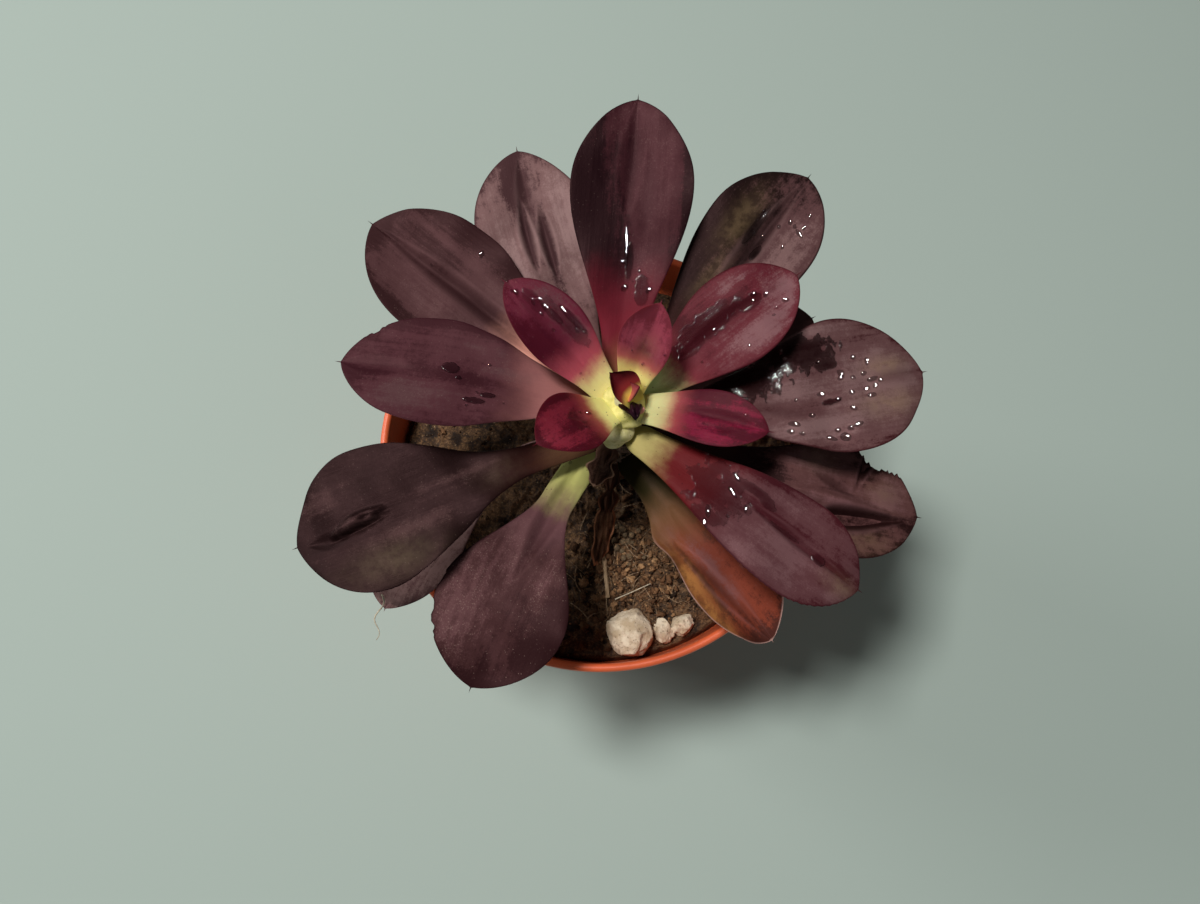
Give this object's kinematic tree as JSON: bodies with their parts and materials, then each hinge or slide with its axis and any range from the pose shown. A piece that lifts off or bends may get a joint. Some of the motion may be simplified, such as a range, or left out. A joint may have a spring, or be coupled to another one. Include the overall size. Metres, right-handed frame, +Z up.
{
  "type": "potted echeveria",
  "caption": "Dark rosette succulent on a bare fleshy stem, growing in soil with a few stones in a tapered plastic nursery pot.",
  "frame": {"origin": "centre of the pot's foot, on the surface that it stands on", "axes": "+Z up along the pot's axis; -Y towards the side where the lower leaves have dropped and the soil and stones show"},
  "size_m": [0.1302, 0.1165, 0.144],
  "materials": {
    "pot_plastic": "satin",
    "potting_soil": "matte",
    "fleshy_stem": "satin",
    "young_leaf": "satin",
    "grown_leaf": "satin",
    "ageing_leaf": "satin",
    "dead_leaf": "matte",
    "pale_stone": "matte",
    "dry_straw": "matte"
  },
  "bodies": {
    "root": {"pot": "pot_plastic", "soil": "potting_soil", "stem": "fleshy_stem", "leaf_01": "young_leaf", "leaf_02": "young_leaf", "leaf_03": "young_leaf", "leaf_04": "young_leaf", "leaf_05": "young_leaf", "leaf_06": "grown_leaf", "leaf_07": "grown_leaf", "leaf_08": "grown_leaf", "leaf_09": "grown_leaf", "leaf_10": "grown_leaf", "leaf_11": "grown_leaf", "leaf_12": "grown_leaf", "leaf_13": "grown_leaf", "leaf_14": "grown_leaf", "leaf_15": "grown_leaf", "leaf_16": "grown_leaf", "leaf_18": "grown_leaf", "leaf_17": "ageing_leaf", "tip_leaf_1": "young_leaf", "tip_leaf_2": "young_leaf", "tip_leaf_3": "young_leaf", "dead_leaf_1": "dead_leaf", "dead_leaf_2": "dead_leaf", "stone_1": "pale_stone", "stone_2": "pale_stone", "stone_3": "pale_stone", "straw": "dry_straw"}
  },
  "joints": []
}
